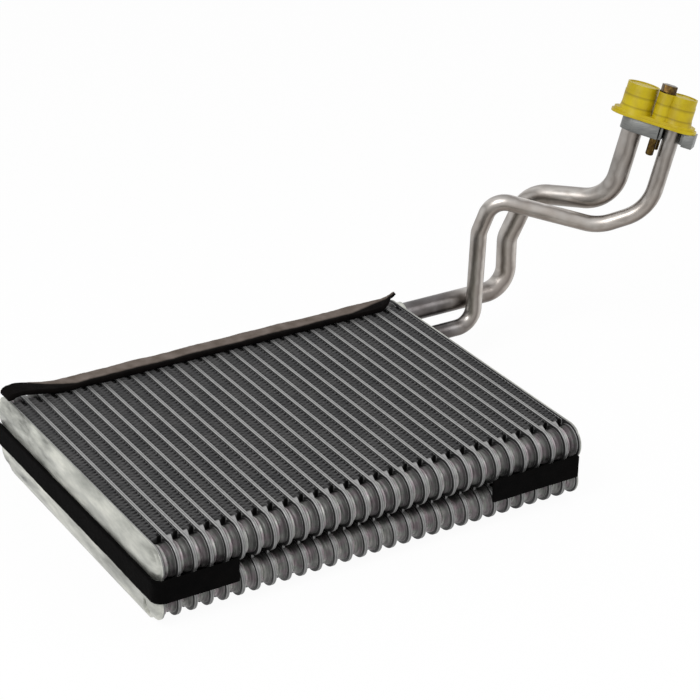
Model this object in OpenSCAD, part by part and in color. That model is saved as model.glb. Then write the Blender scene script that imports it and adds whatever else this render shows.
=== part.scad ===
// Plate-and-fin evaporator core: brazed plate tubes with tank cups, folded fins,
// end plates, foam sealing strips, two bent pipes, a joint block and its cap.
// X runs across the tubes, Y along them, Z is the depth of the core; the core lies on Z = 0.

/* [Core] */
// Number of full tubes between the two end plates
tube_count = 27; // [15:2:29]
// Distance between the middle planes of neighbouring tubes
tube_pitch = 11.5; // [10.5:0.1:12.5]
// Length of a stamped plate, tank to tank
plate_len = 256; // [220:1:290]
// Depth of the core, which is the width of a plate
core_depth = 57; // [50:0.5:64]

/* [Stamped plates] */
// Thickness of the sheet that the plates are stamped from
plate_t = 0.8; // [0.5:0.1:1]
// Outer thickness of a tube between its tanks
tube_t = 2.9; // [2.6:0.1:3.6]
// Width of the flat seam round the edge of a plate
seam_w = 1.2; // [1:0.1:2.4]
// Radius of the upper tank lobes at the ends of a plate
lobe_r = 13.5; // [12.5:0.1:14]
// Radius of the lower tank lobes
low_lobe_r = 12.5; // [11.5:0.1:13]
// Height of the lower lobes over the underside of the core
low_lobe_rise = 3.2; // [2:0.1:3.6]
// Depth of the notch between the two lobes
notch_depth = 10; // [6:0.5:12]
// Width of the flange that is left round an upper tank cup
cup_flange = 1.8; // [1:0.1:2]
// Width of the flange that is left round a lower tank cup
low_cup_flange = 1.3; // [1:0.1:2]
// Amount by which the side of a cup leans in, up to its bevel
cup_draft = 0.6; // [0.3:0.1:0.9]
// Bevel round the floor of an upper cup
cup_bevel = 1.4; // [1:0.1:3.4]
// Bevel round the floor of a lower cup
low_cup_bevel = 3; // [1.5:0.1:3.4]
// Radius of the refrigerant port through the floor of a cup
port_r = 5.5; // [4:0.1:5.8]
// Width of the rib that parts the two refrigerant passes in a tube
pass_rib_w = 3; // [2:0.5:6]

/* [Fins] */
// Length of one fold, crest to crest on the same side
fold_pitch = 3.8; // [3.2:0.1:8]
// Thickness of the fin sheet measured across the tubes
fin_band = 0.9; // [0.5:0.1:1.5]
// Distance from the edge of the tubes to the fins
fin_recess = 0.5; // [0.2:0.1:3]
// Distance from the middle of the tanks to the end of the fins
fin_short = 7.5; // [6:0.5:14]
// Space between the fins and the tank cups
fin_cup_gap = 0.5; // [0.3:0.1:1]
// Brazing gap at the crests of the fins
braze_gap = 0.05; // [0.02:0.01:0.1]

/* [End plates] */
// Height of the dished face over the seam plane
dish_h = 4.5; // [3.5:0.1:6]
// Thickness of the end plate sheet
end_t = 1.2; // [1:0.1:1.6]
// Distance from the edge of the plate to the foot of the dish
dish_inset = 1; // [0.8:0.1:1.5]
// Width over which the shoulder of the dish rises to its flat face
shoulder_w = 7.8; // [6:0.1:9]

/* [Foam strips] */
// Width of the strip on the left end and the front
foam_w = 17.5; // [14:0.5:18]
// Height of the lower edge of this strip over the underside
foam_z = 21; // [18:0.5:22]
// Thickness of the left strip and the right strip
foam_t = 3; // [2:0.5:5]
// Clearance between foam and the ridged tanks
foam_gap = 0.3; // [0.2:0.1:0.5]
// Length of the left strip along the front, from the left seam plane
foam_left_reach = 53.5; // [30:0.5:120]
// Length of the right strip along the front, from the right seam plane
foam_right_reach = 73.5; // [30:0.5:120]
// Width of the strip on the back tanks
foam_back_w = 16; // [12:0.5:20]
// Thickness of the strip on the back tanks
foam_back_t = 4.5; // [3:0.1:6]
// Distance from the right seam plane to where the back strip starts to curl up
foam_back_short = 11.8; // [5:0.1:30]

/* [Pipes] */
// Outer diameter of the suction pipe
suction_d = 15.9; // [14:0.1:18]
// Outer diameter of the liquid pipe
liquid_d = 12.7; // [9:0.1:13]
// Wall of both pipes
pipe_wall = 1.2; // [0.8:0.1:2]
// Bend radius of the suction pipe on its centre line, at its lower bends
suction_bend = 19; // [16:0.5:22]
// Bend radius of the suction pipe at its two upper bends
suction_wide_bend = 27; // [22:0.5:28]
// Bend radius of the liquid pipe on its centre line, at its first three bends
liquid_bend = 15; // [12:0.5:18]
// Bend radius of the liquid pipe at its last two bends
liquid_wide_bend = 34; // [20:0.5:36]
// Distance from the right seam plane to the upright leg of the suction pipe
suction_out = 104.5; // [95:0.5:120]
// Height of the suction pipe over the middle of the upper tank cups
suction_rise = 1; // [0:0.5:2]
// Distance from the right seam plane to the upright leg of the liquid pipe
liquid_out = 63.5; // [55:0.5:75]
// Distance from the middle of the back tank to the liquid pipe
liquid_in = 15.5; // [14.5:0.5:20]
// Height of the liquid pipe where it leaves the end plate
liquid_z = 28.8; // [26:0.1:33]
// Wall of the collars that hold the pipes in the right end plate
collar_wall = 1.5; // [1:0.1:1.8]
// Height of the collars over the end plate
collar_h = 3; // [2:0.5:6]

/* [Joint block] */
// Distance between the two ports
port_spacing = 30; // [28:0.5:34]
// Thickness of the block
block_t = 10.5; // [8:0.5:14]
// Tilt of the block away from upright, to the right
block_tilt = 17; // [10:0.5:25]
// Turn of the row of ports seen from above
block_turn = -50; // [-60:1:-40]
// Wall of metal round the suction port
block_wall = 1.8; // [1.5:0.1:4]
// Length of the block past the liquid port
lug_reach = 17.4; // [15:0.1:24]
// Step between the deep half of the block and its slotted half
block_step = 3.5; // [2:0.5:5]
// Clearance of the pipes in the block
port_gap = 0.1; // [0.05:0.05:0.2]
// Distance from the suction port to the clamp bolt along the row of ports
bolt_along = 18.4; // [17:0.1:18.5]
// Distance of the clamp bolt in front of the row of ports
bolt_front = 6; // [4:0.5:6.5]
// Length of the pipe ends above the block
spigot_len = 14; // [10:0.5:18]

/* [Fasteners and cap] */
// Thread diameter of the clamp bolt
bolt_d = 6; // [5.8:0.1:6.5]
// Diameter of the shank between the bolt head and the thread
bolt_shank_d = 5.2; // [4:0.1:5.4]
// Width across the flats of the bolt head
bolt_flats = 10.4; // [8:0.1:10.8]
// Diameter of the flange under the bolt head
bolt_flange_d = 13; // [12.6:0.1:14]
// Length of the bolt below the block
bolt_below = 12.5; // [8:0.5:20]
// Diameter of the locating pin
pin_d = 4.4; // [3:0.1:5]
// Length of the pin below the block
pin_below = 10; // [6:0.5:14]
// Outer radius of the cap's cup over the suction port
cap_suction_r = 12.6; // [12.5:0.05:13]
// Distance of this cup's middle from the port, away from the bolt
cap_suction_off = 1.3; // [0:0.1:1.3]
// Outer radius of the cap's cup over the liquid port
cap_liquid_r = 11.25; // [10.9:0.05:12]
// Wall of the cap
cap_wall = 1.2; // [0.8:0.1:1.2]
// Height of the cups over the block
cap_h = 25; // [22:0.5:30]
// Half width of the brim
brim_r = 14; // [13.9:0.1:16]
// Thickness of the lower edge of the brim
brim_t = 2.2; // [1.5:0.1:3]
// Distance the brim runs past the suction cup, beyond its round end
brim_past = 5.8; // [3:0.1:8]
// Section diameter of the sealing rings
ring_d = 1.8; // [1.4:0.1:1.9]

/* [Hidden] */
$fn = 48;
function two(i) = str(i < 10 ? "0" : "", i);
fin_pairs = (tube_count + 1) / 2;

// The seam plane of each end plate lies this far from the middle
half_w = (tube_count + 1) * tube_pitch / 2;
lobe_y = plate_len / 2 - lobe_r;
lobe_lo = low_lobe_r + low_lobe_rise;
lobe_hi = core_depth - lobe_r;
notch_y = plate_len / 2 - notch_depth;
corner_r = 8;
corner_y = lobe_y - corner_r;
fin_half = lobe_y - fin_short;
fin_z = core_depth - 2 * fin_recess;
cup_r = lobe_r - cup_flange;
low_cup_r = low_lobe_r - low_cup_flange;
fin_reach = (tube_pitch - tube_t) / 2 - braze_gap;
legs = 2 * floor(fin_half / (fold_pitch / 2));
leg_step = 2 * fin_half / legs;

bend_swell = 0.03;
bend_lap = 0.6;

// The front foam lies on the upper lobes where they stand furthest out within its width
foam_rise = max(0, lobe_hi - (foam_z + foam_w));
foam_seat_y = lobe_y + sqrt(lobe_r * lobe_r - foam_rise * foam_rise) + foam_gap;
foam_face_x = half_w + dish_h;
foam_turn_r = 5.2;

suction_r = suction_d / 2;
liquid_r = liquid_d / 2;
suction_z = lobe_hi + suction_rise;
liquid_y = lobe_y - liquid_in;

// Foot of the suction port, on the lower face of the block
block_foot = [half_w + 168, 47, core_depth + 131];
block_half = suction_r + block_wall;
block_front = bolt_front + bolt_d / 2 + 2.2;
bolt_hole_r = bolt_d / 2 + 0.3;
pin_at = [bolt_along + 1.7, 6];
slot_r = liquid_r + 0.25;
slot_side = liquid_r + 3;
cap_top = block_t + cap_h;
boss_r = bolt_flange_d / 2;
bead_t = 2;
bead_r = cap_liquid_r - cap_wall - 0.3;
head_h = 5;

// Direction of the pipes through the block, and of its row of ports
up_dir = [sin(block_tilt), 0, cos(block_tilt)];
row_dir = [cos(block_turn) * cos(block_tilt), sin(block_turn), -cos(block_turn) * sin(block_tilt)];
liquid_foot = block_foot + port_spacing * row_dir;

// Corners of the pipes' centre lines: out of the end plate, up, over and up into the block
suction_path = [
    [half_w + plate_t, lobe_y, suction_z],
    [half_w + suction_out, lobe_y, suction_z],
    [half_w + suction_out, lobe_y, core_depth + 30.5],
    [half_w + suction_out + 9, lobe_y - 13.5, core_depth + 71.5],
    block_foot - 56.7 * up_dir,
    block_foot + (block_t + spigot_len) * up_dir];
suction_bends = [suction_bend, suction_bend, suction_wide_bend, suction_wide_bend];
liquid_path = [
    [half_w + plate_t, liquid_y, liquid_z],
    [half_w + liquid_out, liquid_y, liquid_z],
    [half_w + liquid_out + 2, liquid_y - 1.5, core_depth + 50],
    [half_w + liquid_out + 10, liquid_y - 7, core_depth + 78],
    [half_w + liquid_out + 76.5, liquid_y - 53.5, core_depth + 58.5],
    liquid_foot - 54.6 * up_dir,
    liquid_foot + (block_t + spigot_len) * up_dir];
liquid_bends = [liquid_bend, liquid_bend, liquid_bend, liquid_wide_bend, liquid_wide_bend];

function unit(v) = v / norm(v);
function way(p, k) = unit(p[k + 1] - p[k]);
function turn_at(p, k) = acos(way(p, k - 1) * way(p, k));
function trim_at(p, k, bends) = k == 0 || k == len(p) - 1 ? 0 : bends[k - 1] * tan(turn_at(p, k) / 2);

module to_yz() {
    rotate([90, 0, 90]) children();
}

module at_block() {
    translate(block_foot) rotate([0, block_tilt, 0]) rotate([0, 0, block_turn]) children();
}

// Places along both ends: on the upper row of lobes, or on the lower one
module at_row(low) {
    for (y = [-lobe_y, lobe_y]) translate([0, y, low ? lobe_lo : lobe_hi]) rotate([0, 90, 0]) children();
}

// Outline of a stamped plate: long straight edges, two round lobes at each end
module plate_outline() {
    for (y = [-lobe_y, lobe_y]) {
        translate([y, lobe_hi]) circle(lobe_r);
        translate([y, lobe_lo]) circle(low_lobe_r);
    }
    for (y = [-corner_y, corner_y]) translate([y, corner_r]) circle(corner_r);
    translate([-corner_y, 0]) square([2 * corner_y, core_depth]);
    translate([-lobe_y, corner_r]) square([2 * lobe_y, core_depth - corner_r]);
    translate([-notch_y, lobe_lo]) square([2 * notch_y, lobe_hi - lobe_lo]);
}

// Slab of the plate outline between two X planes
module slab(x0, x1) {
    translate([x0, 0, 0]) to_yz() linear_extrude(x1 - x0) plate_outline();
}

// Cup of foot radius r as drawn in one plate, or in both plates of a tube, on the seam plane
module cup(r, bevel, both) {
    deep = tube_pitch / 2;
    side = deep - bevel;
    top_r = r - cup_draft - bevel;
    half = [[r, 0], [r - cup_draft, side], [top_r, deep], [0, deep]];
    under = both ? [[0, -deep], [top_r, -deep], [r - cup_draft, -side]] : [[0, 0]];
    rotate_extrude() polygon(concat(under, half));
}

// Room inside a cup, and the port through its floor
module cup_space(r, bevel, both) {
    corner = 0.4 * plate_t;
    deep = tube_pitch / 2 - plate_t;
    side = tube_pitch / 2 - bevel - corner;
    side_r = r - cup_draft - plate_t;
    top_r = r - cup_draft - bevel - corner;
    half = [[r - plate_t, 0], [side_r, side], [top_r, deep], [0, deep]];
    under = both ? [[0, -deep], [top_r, -deep], [side_r, -side]] : [[0, -1], [r - plate_t, -1]];
    rotate_extrude() polygon(concat(under, half));
    under_port = both ? tube_pitch : 1;
    translate([0, 0, -under_port]) cylinder(r = port_r, h = tube_pitch + under_port);
}

// Raised channel between the tanks
module channel(both) {
    back = both ? tube_t / 2 : 0;
    translate([-back, -corner_y, seam_w])
        cube([tube_t / 2 + back, 2 * corner_y, core_depth - 2 * seam_w]);
}

// The two passes inside the channel, parted by the rib down its middle
module passes(both) {
    high = tube_t / 2 - plate_t;
    back = both ? high : 1;
    low = seam_w + plate_t;
    for (z = [low, (core_depth + pass_rib_w) / 2]) translate([-back, plate_t - corner_y, z])
        cube([high + back, 2 * (corner_y - plate_t), (core_depth - pass_rib_w) / 2 - low]);
}

// A stamped plate with its cups on the +X side, or two of them brazed back to back
module plates(both) {
    difference() {
        union() {
            slab(both ? -plate_t : 0, plate_t);
            channel(both);
            at_row(false) cup(cup_r, cup_bevel, both);
            at_row(true) cup(low_cup_r, low_cup_bevel, both);
        }
        passes(both);
        at_row(false) cup_space(cup_r, cup_bevel, both);
        at_row(true) cup_space(low_cup_r, low_cup_bevel, both);
    }
}

module tube(i) {
    color("#a2a3a2") translate([i * tube_pitch - half_w, 0, 0]) plates(both = true);
}

// The single plate that closes the first or last fin layer, with its cups to the inside
module inner_plate() {
    color("#a2a3a2") translate([-half_w, 0, 0]) plates(both = false);
}

// Zigzag outline of one fin layer, in the plane across the tubes
module fin_outline() {
    crest = [for (k = [0:legs]) [k % 2 == 0 ? -fin_reach : fin_reach - fin_band, k * leg_step - fin_half]];
    upper = [for (p = crest) [p.x + fin_band, p.y]];
    polygon(concat(crest, [for (k = [legs:-1:0]) upper[k]]));
}

// Fin layer between tube i - 1 and tube i, cut clear of the round tank cups
module fin_layer(i) {
    translate([(i - 0.5) * tube_pitch - half_w, 0, 0]) difference() {
        translate([0, 0, fin_recess]) linear_extrude(fin_z) fin_outline();
        for (low = [false, true]) translate([-tube_pitch, 0, 0]) at_row(low)
            cylinder(r = (low ? low_cup_r : cup_r) + fin_cup_gap, h = 2 * tube_pitch);
    }
}

module fin_pair(n) {
    color("#474747") for (i = [2 * n - 1, 2 * n]) fin_layer(i);
}

// Foot, knee and brow of the dish's shoulder as [distance from the plate's edge, height].
// The inner face lies t deeper, measured square to each slope.
function shoulder(t) = [
    [dish_inset + 1.34 * t, 0],
    [dish_inset + 0.3 * shoulder_w + 0.57 * t, 0.6 * dish_h - 0.86 * t],
    [dish_inset + shoulder_w + 0.16 * t, dish_h - t]];

// Long part of the dish, up to a distance from the middle; over the upper half only, if asked
module dish_run(reach, upper, t) {
    rising = [for (p = shoulder(t)) [p.y, p.x]];
    falling = [for (k = [2:-1:0]) [rising[k].x, core_depth - rising[k].y]];
    start = upper ? [[0, lobe_lo], [dish_h - t, lobe_lo]] : rising;
    translate([0, reach - t, 0]) rotate([90, 0, 0])
        linear_extrude(2 * (reach - t)) polygon(concat(start, falling));
}

// Round end of the dish over a lobe of radius r
module dish_lobe(r, t) {
    rotate_extrude() polygon(concat([[0, 0]], [for (p = shoulder(t)) [r - p.x, p.y]], [[0, dish_h - t]]));
}

// Pan over the plate outline, standing up from the YZ plane along +X
module dish(t) {
    dish_run(corner_y, false, t);
    dish_run(lobe_y, true, t);
    at_row(false) dish_lobe(lobe_r, t);
    at_row(true) dish_lobe(low_lobe_r, t);
}

// Dished end plate, standing out along +X from its seam plane
module end_plate() {
    difference() {
        union() {
            slab(0, plate_t);
            dish(0);
        }
        translate([-0.01, 0, 0]) dish(end_t);
    }
}

module end_plate_left() {
    color("#c6c7c1") translate([-half_w, 0, 0]) mirror([1, 0, 0]) end_plate();
}

// Collar for a pipe: a short sleeve from the plate through the face of the dish
module collar_at(y, z, r) {
    foot = plate_t / 2;
    translate([foot, y, z]) rotate([0, 90, 0]) rotate([0, 0, 37])
        cylinder(r = r + collar_wall, h = dish_h - foot + collar_h);
}

module collar_bore(y, z, r) {
    translate([-0.5, y, z]) rotate([0, 90, 0]) cylinder(r = r + port_gap, h = dish_h + collar_h + 1);
}

module end_plate_right() {
    color("#a2a3a2") translate([half_w, 0, 0]) difference() {
        union() {
            end_plate();
            collar_at(lobe_y, suction_z, suction_r);
            collar_at(liquid_y, liquid_z, liquid_r);
        }
        collar_bore(lobe_y, suction_z, suction_r);
        collar_bore(liquid_y, liquid_z, liquid_r);
    }
}

// Strip on the left end that turns the front corner and runs on along the tank cups
module foam_left() {
    turn_x = foam_turn_r - foam_face_x;
    turn_y = foam_turn_r - foam_seat_y;
    color("#1d1b18") translate([0, 0, foam_z]) linear_extrude(foam_w) {
        translate([-foam_face_x - foam_t, turn_y]) square([foam_t, lobe_y + 5 - turn_y]);
        translate([turn_x, -foam_seat_y - foam_t])
            square([foam_left_reach - half_w - turn_x, foam_t]);
        translate([turn_x, turn_y]) intersection() {
            difference() {
                circle(foam_turn_r + foam_t);
                circle(foam_turn_r);
            }
            translate([-20, -20]) square(20);
        }
    }
}

module foam_right() {
    color("#1d1b18")
    translate([half_w - foam_right_reach, -foam_seat_y - foam_t, foam_z])
        cube([foam_right_reach - 1.5, foam_t, foam_w]);
}

// Strip on the back tanks: its left end laps over the edge of the core, its right end curls up
module foam_back() {
    curl_r = 26;
    curl_turn = 32;
    lap_r = 6;
    flat_end = half_w - foam_back_short;
    lap_x = half_w + 2.2;
    color("#3a3632") translate([0, lobe_y + 2.5 - foam_back_w, core_depth]) {
        translate([0, foam_back_w, 0]) rotate([90, 0, 0]) linear_extrude(foam_back_w) {
            translate([-lap_x, 0]) square([lap_x + flat_end, foam_back_t]);
            translate([-lap_x, foam_back_t - lap_r]) intersection() {
                circle(lap_r);
                translate([-lap_r, 0]) square(lap_r);
            }
        }
        translate([flat_end, foam_back_w, curl_r]) rotate([90, 0, 0])
            rotate([0, 0, -90]) rotate_extrude(angle = curl_turn)
            translate([curl_r - foam_back_t, 0]) square([foam_back_t, foam_back_w]);
    }
}

// Solid rod along a path, with round bends a hair thicker than its straight runs.
// The runs reach a little into the bends, and past both ends of the path by "past".
module rod_along(path, bends, r, past = 0) {
    last = len(path) - 1;
    for (k = [0:last - 1]) {
        d = way(path, k);
        start = k == 0 ? -past : trim_at(path, k, bends) - bend_lap;
        end = k == last - 1 ? -past : trim_at(path, k + 1, bends) - bend_lap;
        translate(path[k] + start * d) rotate([0, acos(d.z), atan2(d.y, d.x)])
            cylinder(r = r, h = norm(path[k + 1] - path[k]) - start - end);
    }
    for (k = [1:last - 1]) {
        a = way(path, k - 1);
        b = way(path, k);
        n = unit(b - (a * b) * a);
        c = path[k] - trim_at(path, k, bends) * a + bends[k - 1] * n;
        z = cross(a, n);
        multmatrix([[-n.x, a.x, z.x, c.x], [-n.y, a.y, z.y, c.y], [-n.z, a.z, z.z, c.z]])
            rotate_extrude(angle = turn_at(path, k)) translate([bends[k - 1], 0]) circle(r + bend_swell);
    }
}

// Bent pipe with a bead round its end that rests on the top of the block
module pipe(path, bends, r, port_x) {
    color("#a9a8a5") difference() {
        union() {
            rod_along(path, bends, r);
            at_block() translate([port_x, 0, block_t]) cylinder(r = bead_r, h = bead_t);
        }
        rod_along(path, bends, r - pipe_wall, 1);
    }
}

// Outline of the block: a deep half round the suction port, a slotted half at the liquid pipe
module block_outline() {
    wide = bolt_along + bolt_hole_r - 0.8;
    difference() {
        union() {
            circle(block_half);
            translate([0, -block_front]) square([wide, block_front + block_half]);
            translate([0, block_step - block_front])
                square([port_spacing + lug_reach, block_front + block_half - block_step]);
        }
        circle(suction_r + port_gap);
        translate([bolt_along, -bolt_front]) circle(bolt_hole_r);
        translate([port_spacing, 0]) circle(slot_r);
        translate([port_spacing - slot_r, -2 * block_front]) square([slot_r + slot_side, 2 * block_front]);
    }
}

module joint_block() {
    color("#9b9c9e") at_block() difference() {
        linear_extrude(block_t) block_outline();
        translate([pin_at.x, pin_at.y, -1]) cylinder(d = pin_d + 0.1, h = block_t - 1);
    }
}

// Racetrack round both cups, longer past the suction cup
module brim_outline(r) {
    translate([-brim_past, 0]) circle(r);
    translate([port_spacing + brim_past / 2, 0]) circle(r);
    translate([-brim_past, -r]) square([port_spacing + 1.5 * brim_past, 2 * r]);
}

// Outside of one cup of the cap: a flare over the brim, the cup, and a step near its top
module cap_cup(r) {
    flare_z = block_t + brim_t;
    translate([0, 0, flare_z]) cylinder(r1 = r + 1.2, r2 = r, h = 7);
    translate([0, 0, flare_z]) cylinder(r = r, h = cap_top - 6 - flare_z);
    translate([0, 0, block_t]) cylinder(r = r - 0.35, h = cap_h);
}

// Room inside a cup of the cap, with a window through its top
module cap_room(r) {
    inside_r = r - cap_wall;
    translate([0, 0, block_t - 1]) cylinder(r = inside_r, h = cap_h - 1.5);
    translate([0, 0, cap_top - 0.8]) cylinder(r = inside_r - 0.5, h = 2);
}

module protective_cap() {
    color("#d6c21a") at_block() difference() {
        union() {
            translate([0, 0, block_t]) linear_extrude(brim_t) brim_outline(brim_r);
            translate([0, 0, block_t]) linear_extrude(2 * brim_t) brim_outline(brim_r - 1.6);
            translate([-cap_suction_off, 0, 0]) cap_cup(cap_suction_r);
            translate([port_spacing, 0, 0]) cap_cup(cap_liquid_r);
            translate([bolt_along, -bolt_front, block_t]) cylinder(r = boss_r, h = cap_h);
        }
        translate([-cap_suction_off, 0, 0]) cap_room(cap_suction_r);
        translate([port_spacing, 0, 0]) cap_room(cap_liquid_r);
        translate([bolt_along, -bolt_front, 0]) cylinder(r = bolt_hole_r, h = 2 * cap_top);
    }
}

module clamp_bolt() {
    color("#6b5a2e") at_block() translate([bolt_along, -bolt_front, 0]) {
        cylinder(d = bolt_shank_d, h = cap_top);
        translate([0, 0, -bolt_below]) cylinder(d = bolt_d, h = bolt_below);
        translate([0, 0, -bolt_below - 0.8]) cylinder(d1 = bolt_d - 1.6, d2 = bolt_d, h = 0.8);
        translate([0, 0, cap_top]) cylinder(d = bolt_flange_d, h = 1);
        translate([0, 0, cap_top + 1]) cylinder(d = bolt_flats / cos(30), h = head_h, $fn = 6);
    }
}

module locating_pin() {
    color("#5d5340") at_block() translate([pin_at.x, pin_at.y, -pin_below]) {
        translate([0, 0, 0.6]) cylinder(d = pin_d, h = pin_below + block_t - 3);
        cylinder(d1 = pin_d - 1.2, d2 = pin_d, h = 0.6);
    }
}

// Sealing ring on a pipe end, lying on the bead
module seal_ring(x, r) {
    color("#2c3a30") at_block() translate([x, 0, block_t + bead_t + ring_d / 2])
        rotate_extrude() translate([r + ring_d / 2 + 0.02, 0]) circle(d = ring_d, $fn = 24);
}

for (i = [1:tube_count])
    tube(i);
for (i = [1:fin_pairs])
    fin_pair(i);
end_plate_left();
end_plate_right();
inner_plate();  // inner_plate_left
mirror([1, 0, 0]) inner_plate();  // inner_plate_right
foam_left();
foam_right();
foam_back();
pipe(suction_path, suction_bends, suction_r, 0);  // suction_pipe
pipe(liquid_path, liquid_bends, liquid_r, port_spacing);  // liquid_pipe
joint_block();
protective_cap();
clamp_bolt();
locating_pin();
seal_ring(0, suction_r);  // suction_ring
seal_ring(port_spacing, liquid_r);  // liquid_ring
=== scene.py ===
"""Evaporator core: finishes, foam strips, cap and fasteners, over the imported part."""
import functools
import math

import bpy
from mathutils import Matrix, Vector


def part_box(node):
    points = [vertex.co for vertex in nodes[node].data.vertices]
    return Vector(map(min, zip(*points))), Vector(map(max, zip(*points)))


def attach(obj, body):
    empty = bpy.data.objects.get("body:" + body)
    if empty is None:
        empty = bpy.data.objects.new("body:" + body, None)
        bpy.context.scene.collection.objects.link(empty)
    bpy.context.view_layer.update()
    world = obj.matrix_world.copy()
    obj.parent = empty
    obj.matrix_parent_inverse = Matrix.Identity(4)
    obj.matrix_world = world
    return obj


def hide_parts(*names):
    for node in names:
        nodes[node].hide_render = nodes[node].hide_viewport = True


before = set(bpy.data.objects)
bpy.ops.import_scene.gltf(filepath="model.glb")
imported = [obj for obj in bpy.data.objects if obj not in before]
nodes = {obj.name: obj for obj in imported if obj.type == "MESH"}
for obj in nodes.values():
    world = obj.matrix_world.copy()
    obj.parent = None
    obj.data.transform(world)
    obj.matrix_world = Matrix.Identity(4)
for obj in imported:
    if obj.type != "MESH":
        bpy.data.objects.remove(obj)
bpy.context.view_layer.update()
TUBES = [f"tube_{i:02d}" for i in range(1, 28)]
MIDDLE_TUBE = "tube_14"
FIN_PAIRS = [f"fin_pair_{i:02d}" for i in range(1, 15)]

# Sizes of the core and its rims in millimetres; the tubes run along Y and stand side by side along X
MM = 0.001
PITCH = 11.5
DEPTH = 57
LOBE_Y, UPPER_LOBE_Z, LOWER_LOBE_Z = 114.5, 43.5, 15.7
UPPER_LOBE_R, LOWER_LOBE_R = 13.5, 12.5
LOWER_BAR = 213
RIM_W, RIM_T, LOBE_RIM_W = 2.8, 1.2, 2.6
LIP_SIZE, LIP_AT, LIP_TAPER = (4, 9.6, 1.5), (3, 111.5, 55.5), 3.2

# The joint block leans to the right, and the cap's cups stand square to it
BLOCK_TILT = math.radians(17)
BLOCK_X, BLOCK_Z, CAP_RISE = 329, 188, 10.5
CAP_UP = (math.sin(BLOCK_TILT), 0, math.cos(BLOCK_TILT))
CAP_FOOT = BLOCK_X * CAP_UP[0] + BLOCK_Z * CAP_UP[2] + CAP_RISE
CAP_HEIGHT = 25

# The camera was solved from the edges of the plates in the photo
CAMERA_AT = Vector((-0.68065, -1.2003, 0.78697))
LOOK_AZIMUTH = math.radians(31.395)
LOOK_DOWN = math.radians(26.333)
ROLL = math.radians(-0.534)
LENS, SENSOR = 114.87, 36.0


def photo_camera():
    ahead = Vector((
        math.sin(LOOK_AZIMUTH) * math.cos(LOOK_DOWN),
        math.cos(LOOK_AZIMUTH) * math.cos(LOOK_DOWN),
        -math.sin(LOOK_DOWN)))
    right = Vector((math.cos(LOOK_AZIMUTH), -math.sin(LOOK_AZIMUTH), 0))
    down = ahead.cross(right)
    turned_right = right * math.cos(ROLL) + down * math.sin(ROLL)
    turned_down = down * math.cos(ROLL) - right * math.sin(ROLL)
    camera = bpy.data.cameras.new("photo_camera")
    camera.lens, camera.sensor_width = LENS, SENSOR
    camera.clip_start, camera.clip_end = 0.05, 50.0
    holder = bpy.data.objects.new("photo_camera", camera)
    turn = Matrix((turned_right, -turned_down, -ahead)).transposed().to_4x4()
    holder.matrix_world = Matrix.Translation(CAMERA_AT) @ turn
    bpy.context.scene.collection.objects.link(holder)
    bpy.context.scene.camera = holder


def soft_lamp(name, place, size, watts):
    """A square area lamp that faces the middle of the core."""
    lamp = bpy.data.lights.new(name, "AREA")
    lamp.shape, lamp.size, lamp.energy = "SQUARE", size, watts
    holder = bpy.data.objects.new(name, lamp)
    holder.location = place
    aim = Vector((0.05, 0, 0.05)) - Vector(place)
    holder.rotation_euler = aim.to_track_quat("-Z", "Y").to_euler()
    bpy.context.scene.collection.objects.link(holder)


def linear(hex_colour):
    """An sRGB hex colour as the linear one that the shaders take."""
    parts = [int(hex_colour[i:i + 2], 16) / 255 for i in (1, 3, 5)]
    return tuple(c / 12.92 if c <= 0.04045 else ((c + 0.055) / 1.055) ** 2.4 for c in parts) + (1.0,)


def add_node(tree, kind, inputs=None, stops=(), **settings):
    """A shader node with its settings, inputs and colour stops.

    An input is a value, a socket to link from, or a node that stands for its first output.
    """
    made = tree.nodes.new("ShaderNode" + kind)
    for name, value in settings.items():
        setattr(made, name, value)
    for key, value in (inputs or {}).items():
        source = value.outputs[0] if isinstance(value, bpy.types.Node) else value
        if isinstance(source, bpy.types.NodeSocket):
            tree.links.new(source, made.inputs[key])
        else:
            made.inputs[key].default_value = source
    for _ in stops[2:]:
        made.color_ramp.elements.new(0.5)
    for number, (position, colour) in enumerate(stops):
        element = made.color_ramp.elements[number]
        element.position, element.color = position, linear(colour)
    return made


def new_finish(name):
    """An empty material, and the function that adds a node to it."""
    material = bpy.data.materials.new(name)
    material.use_nodes = True
    material.node_tree.nodes.clear()
    return material, functools.partial(add_node, material.node_tree)


def place_in_mm(add, stretch=(1, 1, 1)):
    """Object coordinates in millimetres; a low stretch draws a pattern out along that axis."""
    coords = add("TexCoord")
    return add("Mapping", {"Vector": coords.outputs["Object"], "Scale": [1000 * s for s in stretch]})


def across_the_pitch(add):
    """Place across the stack as a share of the tube pitch; 0.5 is the middle of each tube."""
    axes = add("SeparateXYZ", {"Vector": add("TexCoord").outputs["Object"]})
    share = add("Math", {0: axes.outputs["X"], 1: 1 / (PITCH * MM), 2: 0.5}, operation="MULTIPLY_ADD")
    return add("Math", {0: share}, operation="FRACT")


def painted_shade_at_fin_end(add, place, share):
    """1 where shade is painted black, between the end of the fins and the right-hand tube's cup."""
    axes = add("SeparateXYZ", {"Vector": place})
    front = add("Math", {0: axes.outputs["Y"], 1: -1}, operation="MULTIPLY")
    # The painted shade at the back lies 4 mm nearer the middle than that at the front
    back = add("Math", {0: axes.outputs["Y"], 1: 4}, operation="ADD")
    out = add("Math", {0: front, 1: back}, operation="MAXIMUM")
    mask = add("MapRange", {"Value": axes.outputs["Z"], "From Min": 50, "From Max": 52})
    # Its edges: out along the tubes in millimetres, then across them as shares of the pitch
    edges = ((out, 103.5, 105), (out, 113, 111), (share, 0.07, 0.11), (share, 0.37, 0.35))
    for value, outside, inside in edges:
        edge = add("MapRange", {"Value": value, "From Min": outside, "From Max": inside})
        mask = add("Math", {0: mask, 1: edge}, operation="MULTIPLY")
    return mask


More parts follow.
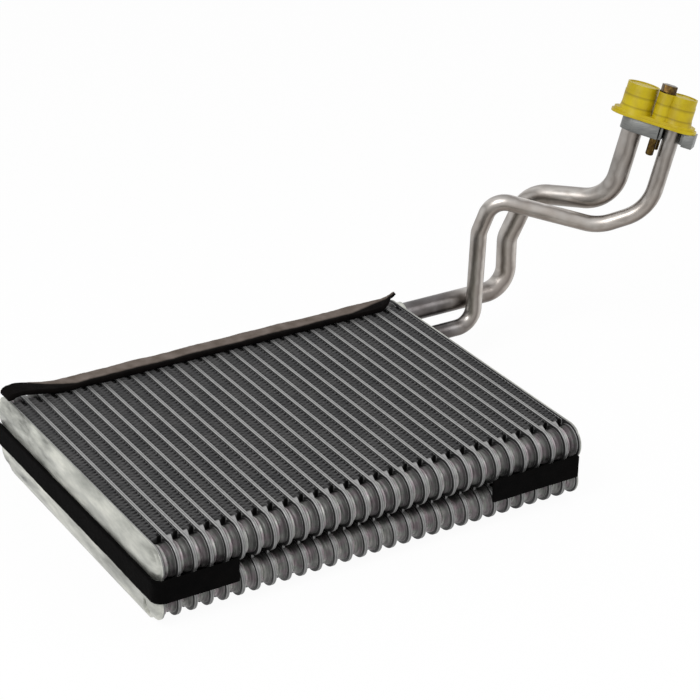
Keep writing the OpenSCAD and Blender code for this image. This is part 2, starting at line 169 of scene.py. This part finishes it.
# Noise for stains, tarnish and unevenness; its Scale is 1 over the size of a patch in millimetres
CLOUDY = {"Detail": 3.0, "Roughness": 0.55}
# Black of the painted shade at the end of the fins
FIN_END_SHADE_BLACK = "#0b0a09"


def rolled_rim_tone(add, place, share, height):
    """Pale rims, darker round the lobes, with painted shade on their sides, and the plates' joint along the
    middle.
    """
    patches = add("TexNoise", {"Vector": place, "Scale": 1 / 3, **CLOUDY})
    rims = add("ValToRGB", {"Fac": patches}, [(0.3, "#929292"), (0.7, "#a6a6a5")])
    round_lobes = add("MapRange", {
        "Value": height, "From Min": 56, "From Max": 53, "To Min": 1, "To Max": 0.72})
    rims = add("VectorMath", {0: rims, 1: round_lobes}, operation="MULTIPLY")
    # Painted shade: the rims' sides, which face along the stack, are darkened towards #3a3a3a
    facing = add("SeparateXYZ", {"Vector": add("TexCoord").outputs["Normal"]})
    sideways = add("Math", {0: facing.outputs["X"]}, operation="ABSOLUTE")
    painted_side_shade = add("MapRange", {"Value": sideways, "From Min": 0.5, "From Max": 0.85})
    rims = add("Mix", {0: painted_side_shade, 6: rims, 7: linear("#3a3a3a")}, data_type="RGBA").outputs[2]
    at_joint = add("Math", {0: share, 1: 0.5, 2: 0.32 / PITCH}, operation="COMPARE")
    joint = add("Math", {0: at_joint, 1: 0.6}, operation="MULTIPLY")
    return add("Mix", {0: joint, 6: rims, 7: linear("#4a4a4a")}, data_type="RGBA").outputs[2]


def tank_cup_tone(add, place, drawn, share, height):
    """Dull cups: faint pink and green stains, streaks drawn round them, and painted shade and light beside
    each rim.
    """
    patches = add("TexNoise", {"Vector": place, "Scale": 1 / 6, **CLOUDY})
    stains = add("ValToRGB", {"Fac": patches}, [
        (0.32, "#c4b6bb"), (0.45, "#cfc5c8"), (0.55, "#c6cac4"), (0.68, "#dad6d4")])
    lines = add("TexNoise", {"Vector": drawn, "Scale": 1 / 1.1, "Detail": 3.0, "Roughness": 0.6})
    streaks = add("ValToRGB", {"Fac": lines}, [(0.34, "#989898"), (0.5, "#c0c0c0"), (0.66, "#e6e6e6")])
    # Painted shade lies on the left of each rim and thins out towards the next tube; painted light lies on
    # its right, brightest about 4 mm from it
    painted_gap_light_and_shade = add("ValToRGB", {"Fac": share}, [
        (0.0, "#c4c4c4"), (0.12, "#8b8b8b"), (0.27, "#757575"), (0.6, "#848484"),
        (0.7, "#a6a6a6"), (0.8, "#f0f0f0"), (0.87, "#ffffff"), (1.0, "#cccccc")])
    # The lower row is painted lighter than the upper one, as painted reflection of the pale floor
    painted_lower_row_light = add("MapRange", {"Value": height, "From Min": 27, "From Max": 30, "To Min": 1.8, "To Max": 0.98})
    cups = add("VectorMath", {0: stains, 1: streaks}, operation="MULTIPLY")
    cups = add("VectorMath", {0: cups, 1: painted_gap_light_and_shade}, operation="MULTIPLY")
    return add("VectorMath", {0: cups, 1: painted_lower_row_light}, operation="MULTIPLY")


def brazed_plate():
    """Aluminium after the brazing furnace: matt, with dull cups and paler rims."""
    material, add = new_finish("Brazed Aluminium")
    place = place_in_mm(add)
    drawn = place_in_mm(add, (1, 0.09, 0.09))
    share = across_the_pitch(add)
    height = add("SeparateXYZ", {"Vector": place}).outputs["Z"]
    cups = tank_cup_tone(add, place, drawn, share, height)
    rims = rolled_rim_tone(add, place, share, height)
    near_middle = add("Math", {0: share, 1: 0.5, 2: 1.5 / PITCH}, operation="COMPARE")
    on_top = add("MapRange", {"Value": height, "From Min": 55.6, "From Max": 55.9})
    on_rim = add("Math", {0: near_middle, 1: on_top}, operation="MAXIMUM")
    tone = add("Mix", {0: on_rim, 6: cups, 7: rims}, data_type="RGBA").outputs[2]
    # Painted shade: black in the gap between the fins' end and the next tube's cup
    fin_end_shade = painted_shade_at_fin_end(add, place, share)
    tone = add("Mix", {0: fin_end_shade, 6: tone, 7: linear(FIN_END_SHADE_BLACK)}, data_type="RGBA").outputs[2]
    worn = add("TexNoise", {"Vector": drawn, "Scale": 1 / 2, **CLOUDY})
    gloss = add("MapRange", {
        "Value": worn, "From Min": 0.3, "From Max": 0.7, "To Min": 0.42, "To Max": 0.6})
    ridges = add("TexNoise", {"Vector": drawn, "Scale": 1 / 0.9, **CLOUDY})
    bump = add("Bump", {"Height": ridges, "Strength": 0.3, "Distance": 0.15 * MM})
    shader = add("BsdfPrincipled", {
        "Base Color": tone, "Metallic": 0.75, "Roughness": gloss, "Normal": bump})
    add("OutputMaterial", {"Surface": shader})
    return material


def coated_foil():
    """Fin foil with its dark coating, slit into louvres; the folds get painted shade below their crests,
    and the crests are painted lighter.
    """
    material, add = new_finish("Coated Fin Foil")
    place = place_in_mm(add)
    # The louvres stand 0.95 mm apart, as on real foil
    slats = add("TexWave", {"Vector": place, "Scale": 0.33, "Distortion": 0.0}, bands_direction="Z")
    patches = add("TexNoise", {"Vector": place, "Scale": 1 / 30, **CLOUDY})
    tone = add("ValToRGB", {"Fac": patches}, [(0.35, "#5f5f60"), (0.7, "#727171")])
    height = add("SeparateXYZ", {"Vector": place}).outputs["Z"]
    # Painted shade below the crests and painted light on them, set by height
    shade = add("MapRange", {
        "Value": height, "From Min": 54.4, "From Max": 56, "To Min": 0.35, "To Max": 1.15})
    tone = add("VectorMath", {0: tone, 1: shade}, operation="MULTIPLY")
    # Painted shade: black in the gap between the fins' end and the next tube's cup
    fin_end_shade = painted_shade_at_fin_end(add, place, across_the_pitch(add))
    tone = add("Mix", {0: fin_end_shade, 6: tone, 7: linear(FIN_END_SHADE_BLACK)}, data_type="RGBA").outputs[2]
    bump = add("Bump", {"Height": slats.outputs["Fac"], "Strength": 0.5, "Distance": 0.3 * MM})
    shader = add("BsdfPrincipled", {"Base Color": tone, "Metallic": 0.55, "Roughness": 0.5, "Normal": bump})
    add("OutputMaterial", {"Surface": shader})
    return material


def scuffed_plate():
    """The wide end plate of rubbed aluminium: pale, with soft streaks and, to the back, dark marks."""
    material, add = new_finish("Scuffed Aluminium")
    place = place_in_mm(add)
    along = place_in_mm(add, (1, 0.25, 1))
    marks = add("TexNoise", {"Vector": along, "Scale": 1 / 9, "Detail": 5.0, "Roughness": 0.55})
    marked = add("ValToRGB", {"Fac": marks}, [
        (0.3, "#565753"), (0.42, "#9a9b95"), (0.56, "#c2c3bb"), (0.72, "#e4e4da")])
    clean = add("ValToRGB", {"Fac": marks}, [(0.3, "#8e8f89"), (0.5, "#b4b5ae"), (0.7, "#d4d4cb")])
    axes = add("SeparateXYZ", {"Vector": place})
    to_back = add("MapRange", {"Value": axes.outputs["Y"], "From Min": 0, "From Max": 60})
    tone = add("Mix", {0: to_back, 6: clean, 7: marked}, data_type="RGBA").outputs[2]
    worn = add("TexNoise", {"Vector": along, "Scale": 1 / 4, **CLOUDY})
    gloss = add("MapRange", {
        "Value": worn, "From Min": 0.3, "From Max": 0.7, "To Min": 0.3, "To Max": 0.55})
    dents = add("TexNoise", {"Vector": place, "Scale": 1 / 2.2, **CLOUDY})
    bump = add("Bump", {"Height": dents, "Strength": 0.3, "Distance": 0.2 * MM})
    shader = add("BsdfPrincipled", {
        "Base Color": tone, "Metallic": 0.7, "Roughness": gloss, "Normal": bump})
    add("OutputMaterial", {"Surface": shader})
    return material


def painted_sheen_along_pipe(add, place):
    """Painted highlight and shade bands that run along the pipe, set by the way its wall faces, slightly
    brown on faces that look a little down.
    """
    facing = add("SeparateXYZ", {"Vector": add("TexCoord").outputs["Normal"]})
    drift = add("TexNoise", {"Vector": place, "Scale": 1 / 18, "Detail": 2.0, "Roughness": 0.55})
    wander = add("MapRange", {
        "Value": drift, "From Min": 0.3, "From Max": 0.7, "To Min": -0.12, "To Max": 0.12})
    left_to_right = [(0.0, "#e0e0e0"), (0.1, "#a6a4a2"), (0.24, "#d4d2d0"),
                     (0.46, "#9c9896"), (0.66, "#ffffff"), (0.9, "#d8d8d8")]
    bottom_to_top = [(0.0, "#d8d6d4"), (0.28, "#b8b0aa"), (0.46, "#dcd8d4"),
                     (0.66, "#eceae8"), (0.85, "#ffffff")]
    bands = []
    for axis, stops in (("X", left_to_right), ("Z", bottom_to_top)):
        turned = add("Math", {0: facing.outputs[axis], 1: wander}, operation="ADD")
        share = add("MapRange", {"Value": turned, "From Min": -1, "From Max": 1})
        bands.append(add("ValToRGB", {"Fac": share}, stops))
    return add("VectorMath", {0: bands[0], 1: bands[1]}, operation="MULTIPLY")


def drawn_pipe():
    """Drawn and bent aluminium pipe: satin and slightly brown, with painted highlight and shade along it.
    """
    material, add = new_finish("Drawn Aluminium")
    place = place_in_mm(add)
    patches = add("TexNoise", {"Vector": place, "Scale": 1 / 14, "Detail": 4.0, "Roughness": 0.55})
    tone = add("ValToRGB", {"Fac": patches}, [(0.3, "#d6d0cb"), (0.5, "#e0dcd8"), (0.7, "#eae8e6")])
    # Painted highlights and shade, by the way the pipe's wall faces
    tone = add("VectorMath", {0: tone, 1: painted_sheen_along_pipe(add, place)}, operation="MULTIPLY")
    # The suction pipe's first run out of the core is dull and dark
    axes = add("SeparateXYZ", {"Vector": place})
    near_core = add("MapRange", {"Value": axes.outputs["X"], "From Min": 226, "From Max": 198})
    on_suction = add("MapRange", {"Value": axes.outputs["Y"], "From Min": 50, "From Max": 60})
    dull = add("Math", {0: near_core, 1: on_suction}, operation="MULTIPLY")
    dark = add("VectorMath", {0: tone, 1: linear("#97979b")[:3]}, operation="MULTIPLY")
    tone = add("Mix", {0: dull, 6: tone, 7: dark}, data_type="RGBA").outputs[2]
    # Both pipes are a little darker on their last run, up to the joint block
    rise = add("MapRange", {
        "Value": axes.outputs["Z"], "From Min": 130, "From Max": 160, "To Min": 1, "To Max": 0.8})
    tone = add("VectorMath", {0: tone, 1: rise}, operation="MULTIPLY")
    worn = add("TexNoise", {"Vector": place, "Scale": 1 / 6, **CLOUDY})
    gloss = add("MapRange", {
        "Value": worn, "From Min": 0.3, "From Max": 0.7, "To Min": 0.3, "To Max": 0.42})
    ripples = add("TexNoise", {"Vector": place, "Scale": 1 / 2.4, **CLOUDY})
    bump = add("Bump", {"Height": ripples, "Strength": 0.08, "Distance": 0.05 * MM})
    shader = add("BsdfPrincipled", {
        "Base Color": tone, "Metallic": 1.0, "Roughness": gloss, "Normal": bump})
    add("OutputMaterial", {"Surface": shader})
    return material


def milled_block():
    """Extruded aluminium, sawn and milled: even grey, with lines across it, coarser than real ones."""
    material, add = new_finish("Milled Aluminium")
    lines = place_in_mm(add, (0.2, 0.2, 3))
    bands = add("TexNoise", {"Vector": lines, "Scale": 1 / 1.2, **CLOUDY})
    tone = add("ValToRGB", {"Fac": bands}, [(0.3, "#696a6a"), (0.7, "#828380")])
    ridges = add("TexNoise", {"Vector": lines, "Scale": 1 / 0.6, **CLOUDY})
    bump = add("Bump", {"Height": ridges, "Strength": 0.2, "Distance": 0.05 * MM})
    shader = add("BsdfPrincipled", {"Base Color": tone, "Metallic": 1.0, "Roughness": 0.42, "Normal": bump})
    add("OutputMaterial", {"Surface": shader})
    return material


def moulded_cap():
    """Soft yellow polyethylene, moulded: slightly waxy, so that light goes a little way in."""
    material, add = new_finish("Moulded Polyethylene")
    place = place_in_mm(add)
    patches = add("TexNoise", {"Vector": place, "Scale": 1 / 12, **CLOUDY})
    tone = add("ValToRGB", {"Fac": patches}, [(0.3, "#ad9508"), (0.7, "#c4b00d")])
    # Faint dark rings painted as the shade of the mould's ridges, square to the cups
    rise = add("VectorMath", {0: place, 1: CAP_UP}, operation="DOT_PRODUCT")
    height = add("Math", {0: rise.outputs["Value"], 1: CAP_FOOT}, operation="SUBTRACT")
    share = add("MapRange", {"Value": height, "From Min": 0, "From Max": CAP_HEIGHT})
    rings = add("ValToRGB", {"Fac": share}, [
        (0.26, "#ffffff"), (0.32, "#cfcbc2"), (0.35, "#ffffff"),
        (0.58, "#ffffff"), (0.66, "#cac6bc"), (0.69, "#f4f4f4")])
    tone = add("VectorMath", {0: tone, 1: rings}, operation="MULTIPLY")
    grain = add("TexNoise", {"Vector": place, "Scale": 1 / 0.7, **CLOUDY})
    bump = add("Bump", {"Height": grain, "Strength": 0.12, "Distance": 0.05 * MM})
    shader = add("BsdfPrincipled", {
        "Base Color": tone, "Roughness": 0.42, "Specular IOR Level": 0.3, "Normal": bump,
        "Subsurface Weight": 0.12, "Subsurface Radius": (2 * MM, 1.5 * MM, 0.3 * MM)})
    add("OutputMaterial", {"Surface": shader})
    return material


def passivated_steel():
    """Yellow-passivated steel gone brown and brassy, with sharp glints."""
    material, add = new_finish("Passivated Steel")
    place = place_in_mm(add)
    patches = add("TexNoise", {"Vector": place, "Scale": 1 / 4, **CLOUDY})
    tone = add("ValToRGB", {"Fac": patches}, [(0.3, "#281c09"), (0.5, "#412f12"), (0.7, "#6b5728")])
    grain = add("TexNoise", {"Vector": place, "Scale": 1 / 0.9, **CLOUDY})
    bump = add("Bump", {"Height": grain, "Strength": 0.15, "Distance": 0.05 * MM})
    shader = add("BsdfPrincipled", {"Base Color": tone, "Metallic": 0.9, "Roughness": 0.27, "Normal": bump})
    add("OutputMaterial", {"Surface": shader})
    return material


def cell_foam(name, dark, light, top_light=None):
    """Open-cell foam: near black, with fine pits; given top colours, the faces that look up get painted
    light from above.
    """
    material, add = new_finish(name)
    place = place_in_mm(add)
    patches = add("TexNoise", {"Vector": place, "Scale": 1 / 8, "Detail": 4.0, "Roughness": 0.55})
    tone = add("ValToRGB", {"Fac": patches}, [(0.3, dark), (0.7, light)]).outputs["Color"]
    # Painted light: faces that look up turn brown-grey, as if lit from above
    if top_light:
        facing = add("SeparateXYZ", {"Vector": add("TexCoord").outputs["Normal"]})
        up = add("MapRange", {"Value": facing.outputs["Z"], "From Min": 0.3, "From Max": 0.7})
        # The painted light starts a little behind the front edge, and further back towards both ends
        axes = add("SeparateXYZ", {"Vector": place})
        from_left = add("MapRange", {
            "Value": axes.outputs["X"], "From Min": -150, "From Max": -112, "To Min": 12, "To Max": 0})
        to_right = add("MapRange", {
            "Value": axes.outputs["X"], "From Min": 118, "From Max": 150, "To Min": 0, "To Max": 8})
        setback = add("Math", {0: from_left, 1: to_right}, operation="ADD")
        behind = add("Math", {0: axes.outputs["Y"], 1: setback}, operation="SUBTRACT")
        past_edge = add("MapRange", {"Value": behind, "From Min": 104, "From Max": 106.5})
        painted_top_share = add("Math", {0: up, 1: past_edge}, operation="MULTIPLY")
        top_light_patches = add("TexNoise", {"Vector": place, "Scale": 1 / 10, "Detail": 4.0, "Roughness": 0.55})
        painted_top_tone = add("ValToRGB", {"Fac": top_light_patches}, [(0.3, top_light[0]), (0.7, top_light[1])])
        tone = add("Mix", {0: painted_top_share, 6: tone, 7: painted_top_tone}, data_type="RGBA").outputs[2]
    cells = add("TexVoronoi", {"Vector": place, "Scale": 1.3}, feature="SMOOTH_F1")
    bump = add("Bump", {"Height": cells, "Strength": 0.6, "Distance": 0.5 * MM})
    shader = add("BsdfPrincipled", {
        "Base Color": tone, "Roughness": 0.95, "Specular IOR Level": 0.05, "Normal": bump})
    add("OutputMaterial", {"Surface": shader})
    return material


def ring_rubber():
    """Green-grey moulded rubber of the sealing rings, with a dull sheen."""
    material, add = new_finish("Sealing Rubber")
    patches = add("TexNoise", {"Vector": place_in_mm(add), "Scale": 1 / 2, **CLOUDY})
    tone = add("ValToRGB", {"Fac": patches}, [(0.3, "#24332a"), (0.7, "#30423a")])
    shader = add("BsdfPrincipled", {"Base Color": tone, "Roughness": 0.5})
    add("OutputMaterial", {"Surface": shader})
    return material


def dress(names, material):
    for name in names:
        data = nodes[name].data
        data.materials.clear()
        data.materials.append(material)


PLATE = brazed_plate()
FOIL = coated_foil()
SCUFFED = scuffed_plate()
PIPE = drawn_pipe()
BLOCK = milled_block()
CAP = moulded_cap()
STEEL = passivated_steel()
SIDE_FOAM = cell_foam("Black Seal Foam", "#020202", "#060505")
# The back strip's upward faces get painted light from above
BACK_FOAM = cell_foam("Seal Foam Painted Lit On Top", "#040303", "#0d0a09", ("#5d544d", "#7a706a"))
RUBBER = ring_rubber()
dress(FIN_PAIRS, FOIL)
dress(["suction_pipe", "liquid_pipe"], PIPE)
dress(["locating_pin"], STEEL)
dress(["suction_ring", "liquid_ring"], RUBBER)


def only(obj):
    bpy.ops.object.select_all(action="DESELECT")
    obj.select_set(True)
    bpy.context.view_layer.objects.active = obj


def join(parts, main):
    """Joins the parts into the main one."""
    only(main)
    for part in parts:
        part.select_set(True)
    bpy.ops.object.join()
    return main


def choose(piece, chosen):
    """Selects just the points of the mesh whose place in millimetres is chosen."""
    only(piece)
    bpy.ops.object.mode_set(mode="EDIT")
    bpy.ops.mesh.select_all(action="DESELECT")
    bpy.ops.object.mode_set(mode="OBJECT")
    for vertex in piece.data.vertices:
        vertex.select = chosen(vertex.co / MM)


def clean_copy(node, name, material):
    """A copy of a node's mesh with its loose triangles joined into clean faces."""
    piece = bpy.data.objects.new(name, nodes[node].data.copy())
    bpy.context.scene.collection.objects.link(piece)
    only(piece)
    bpy.ops.object.mode_set(mode="EDIT")
    bpy.ops.mesh.select_all(action="SELECT")
    bpy.ops.mesh.remove_doubles(threshold=0.002 * MM)
    bpy.ops.mesh.dissolve_limited(angle_limit=math.radians(1))
    bpy.ops.object.mode_set(mode="OBJECT")
    piece.data.materials.clear()
    piece.data.materials.append(material)
    return piece


def round_edges(piece, width_mm, segments, over_degrees):
    """Rounds every edge that turns by more than over_degrees."""
    only(piece)
    bevel = piece.modifiers.new("rounding", "BEVEL")
    bevel.width, bevel.segments = width_mm * MM, segments
    bevel.limit_method, bevel.angle_limit = "ANGLE", math.radians(over_degrees)
    bpy.ops.object.modifier_apply(modifier=bevel.name)


def smooth(piece, degrees):
    only(piece)
    bpy.ops.object.shade_smooth_by_angle(angle=math.radians(degrees))


def hand_over(piece, node):
    """The piece stands for the node and rides on the core."""
    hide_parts(node)
    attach(piece, "root")


def middle_x(node):
    return sum(corner[0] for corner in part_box(node)) / 2


def copy_across(pattern, name, shift_x):
    """Another copy of a piece with its own mesh, moved along X in the mesh."""
    made = bpy.data.objects.new(name, pattern.data.copy())
    made.data.transform(Matrix.Translation((shift_x, 0, 0)))
    bpy.context.scene.collection.objects.link(made)
    return made


def shoulder_lip(x, end):
    """Flat lip on the tube's right side, where its channel widens into the upper cup, tapering outwards."""
    aside, out, up = LIP_AT
    bpy.ops.mesh.primitive_cube_add(size=1, location=(x + aside * MM, end * out * MM, up * MM),
                                    scale=[s * MM for s in LIP_SIZE])
    lip = bpy.context.object
    bpy.ops.object.transform_apply(location=True, rotation=True, scale=True)
    choose(lip, lambda at: at.x > x / MM + aside and end * at.y > out)
    bpy.ops.object.mode_set(mode="EDIT")
    bpy.ops.transform.translate(value=(-LIP_TAPER * MM, 0, 0))
    bpy.ops.object.mode_set(mode="OBJECT")
    return lip


def rolled_rims(x, name):
    """The plates' rims rolled together: bars along the tube's edges, discs round its lobes, and lips."""
    parts = []
    for z, length in ((DEPTH - RIM_T / 2, 2 * LOBE_Y), (RIM_T / 2, LOWER_BAR)):
        bpy.ops.mesh.primitive_cube_add(size=1, location=(x, 0, z * MM),
                                        scale=(RIM_W * MM, length * MM, RIM_T * MM))
        parts.append(bpy.context.object)
    for y in (-LOBE_Y, LOBE_Y):
        for z, r in ((UPPER_LOBE_Z, UPPER_LOBE_R), (LOWER_LOBE_Z, LOWER_LOBE_R)):
            bpy.ops.mesh.primitive_cylinder_add(vertices=72, radius=r * MM, depth=LOBE_RIM_W * MM,
                                                location=(x, y * MM, z * MM), rotation=(0, math.pi / 2, 0))
            parts.append(bpy.context.object)
    parts += [shoulder_lip(x, end) for end in (-1, 1)]
    rims = join(parts, parts[0])
    rims.name = name
    rims.data.materials.append(PLATE)
    bpy.ops.object.transform_apply(location=True, rotation=True, scale=True)
    round_edges(rims, 0.45, 2, 40)
    return rims


def stamped_tubes():
    """One tube with its rims and cups rounded, copied to all the places in the stack."""
    middle = middle_x(MIDDLE_TUBE)
    pattern = clean_copy(MIDDLE_TUBE, "stamped_" + MIDDLE_TUBE, PLATE)
    # The seam is drawn in by a hair, so that it lies within the rims
    bpy.ops.object.mode_set(mode="EDIT")
    bpy.ops.mesh.select_all(action="SELECT")
    bpy.ops.transform.resize(value=(1, 0.996, 0.996), center_override=(middle, 0, DEPTH / 2 * MM))
    bpy.ops.object.mode_set(mode="OBJECT")
    round_edges(pattern, 0.3, 2, 25)
    join([rolled_rims(middle, "rolled_rims")], pattern)
    for name in TUBES:
        shift = middle_x(name) - middle
        piece = pattern if name == MIDDLE_TUBE else copy_across(pattern, "stamped_" + name, shift)
        smooth(piece, 50)
        hand_over(piece, name)
    for side in ("left", "right"):
        piece = clean_copy("inner_plate_" + side, "stamped_plate_" + side, PLATE)
        round_edges(piece, 0.2, 2, 25)
        smooth(piece, 50)
        hand_over(piece, "inner_plate_" + side)


def end_plates():
    """The dished plates: their shoulders roll over softly, so the slopes shade as one."""
    for side in ("left", "right"):
        piece = clean_copy("end_plate_" + side, "dished_plate_" + side, SCUFFED)
        round_edges(piece, 0.3, 2, 60)
        smooth(piece, 55)
        hand_over(piece, "end_plate_" + side)


def foam_strip(node, name, material, voxel_mm, wave_mm):
    """A strip of soft foam: its edges rounded, its faces uneven where it is pressed on."""
    piece = clean_copy(node, name, material)
    round_edges(piece, 0.9, 2, 40)
    only(piece)
    cells = piece.modifiers.new("cells", "REMESH")
    cells.mode, cells.voxel_size = "VOXEL", voxel_mm * MM
    bpy.ops.object.modifier_apply(modifier=cells.name)
    for size_mm, depth_mm in ((22, wave_mm), (4, 0.35 * wave_mm)):
        texture = bpy.data.textures.new(f"{name}_{size_mm}", "CLOUDS")
        texture.noise_scale = size_mm * MM
        press = piece.modifiers.new("press", "DISPLACE")
        press.texture, press.strength, press.mid_level = texture, depth_mm * MM, 0.75
        bpy.ops.object.modifier_apply(modifier=press.name)
    smooth(piece, 60)
    hand_over(piece, node)
    return piece


def nudge(strip, chosen, move_mm, reach_mm):
    """Moves the chosen part of the strip, and the foam within reach follows it softly."""
    choose(strip, chosen)
    bpy.ops.object.mode_set(mode="EDIT")
    bpy.ops.transform.translate(value=[m * MM for m in move_mm], use_proportional_edit=True,
                                proportional_edit_falloff="SMOOTH", proportional_size=reach_mm * MM)
    bpy.ops.object.mode_set(mode="OBJECT")


def back_strip():
    """The strip along the back tanks: its left end stands up, and its right end curls to a thin tip."""
    strip = foam_strip("foam_back", "back_strip", BACK_FOAM, 1.2, 1.2)
    nudge(strip, lambda at: at.x < -158, (0, 0, 5.5), 40)
    nudge(strip, lambda at: at.x < -163, (3.5, 0, -0.5), 12)
    tip = max(vertex.co.x for vertex in strip.data.vertices) / MM
    for before_tip, front_edge in ((16, 105), (11, 108), (7, 110), (4, 112)):
        nudge(strip, lambda at: at.x > tip - before_tip and at.y < front_edge, (0, 2.8, 0.4), 5)


def block_cap_and_bolt():
    block = clean_copy("joint_block", "milled_block", BLOCK)
    round_edges(block, 0.4, 2, 30)
    smooth(block, 40)
    hand_over(block, "joint_block")
    cap = clean_copy("protective_cap", "moulded_cap", CAP)
    round_edges(cap, 0.5, 3, 25)
    smooth(cap, 45)
    hand_over(cap, "protective_cap")
    bolt = clean_copy("clamp_bolt", "flanged_bolt", STEEL)
    round_edges(bolt, 0.35, 2, 35)
    smooth(bolt, 40)
    hand_over(bolt, "clamp_bolt")


stamped_tubes()
end_plates()
foam_strip("foam_left", "left_strip", SIDE_FOAM, 1.0, 0.8)
foam_strip("foam_right", "right_strip", SIDE_FOAM, 1.0, 0.8)
back_strip()
block_cap_and_bolt()


def stage_floor():
    """Pale floor under the core; seen directly it is mostly plain white, with a faint shadow."""
    bpy.ops.mesh.primitive_plane_add(size=12, location=(0, 0, -0.0002))
    floor = bpy.context.object
    floor.name = "floor"
    material, add = new_finish("Pale Floor")
    lit = add("BsdfPrincipled", {"Base Color": linear("#f4f4f4"), "Roughness": 0.9})
    path = add("LightPath")
    seen = add("Math", {
        0: path.outputs["Is Camera Ray"], 1: path.outputs["Is Glossy Ray"]}, operation="MAXIMUM")
    white_share = add("Math", {0: seen, 1: 0.95}, operation="MULTIPLY")
    white = add("Emission", {"Color": (1, 1, 1, 1), "Strength": 1.0})
    mixed = add("MixShader", {0: white_share, 1: lit, 2: white})
    add("OutputMaterial", {"Surface": mixed})
    floor.data.materials.append(material)


def studio_world():
    """Even light from all round; seen directly or mirrored it is plain white."""
    world = bpy.data.worlds.new("studio")
    world.use_nodes = True
    world.node_tree.nodes.clear()
    add = functools.partial(add_node, world.node_tree)
    path = add("LightPath")
    seen = add("Math", {
        0: path.outputs["Is Camera Ray"], 1: path.outputs["Is Glossy Ray"]}, operation="MAXIMUM")
    seen = add("Math", {0: seen, 1: path.outputs["Is Transmission Ray"]}, operation="MAXIMUM")
    even_light = add("Background", {"Color": (1, 1, 1, 1), "Strength": 0.55})
    white = add("Background", {"Color": (1, 1, 1, 1), "Strength": 1.0})
    mixed = add("MixShader", {0: seen, 1: even_light, 2: white})
    add("OutputWorld", {"Surface": mixed})
    bpy.context.scene.world = world


bpy.ops.object.select_all(action="DESELECT")
photo_camera()
stage_floor()
studio_world()
soft_lamp("key", (-1.2, -0.6, 1.6), 1.0, 22)
soft_lamp("fill", (1.4, -1.0, 1.3), 1.2, 10)
bpy.context.scene.view_settings.view_transform = "Standard"
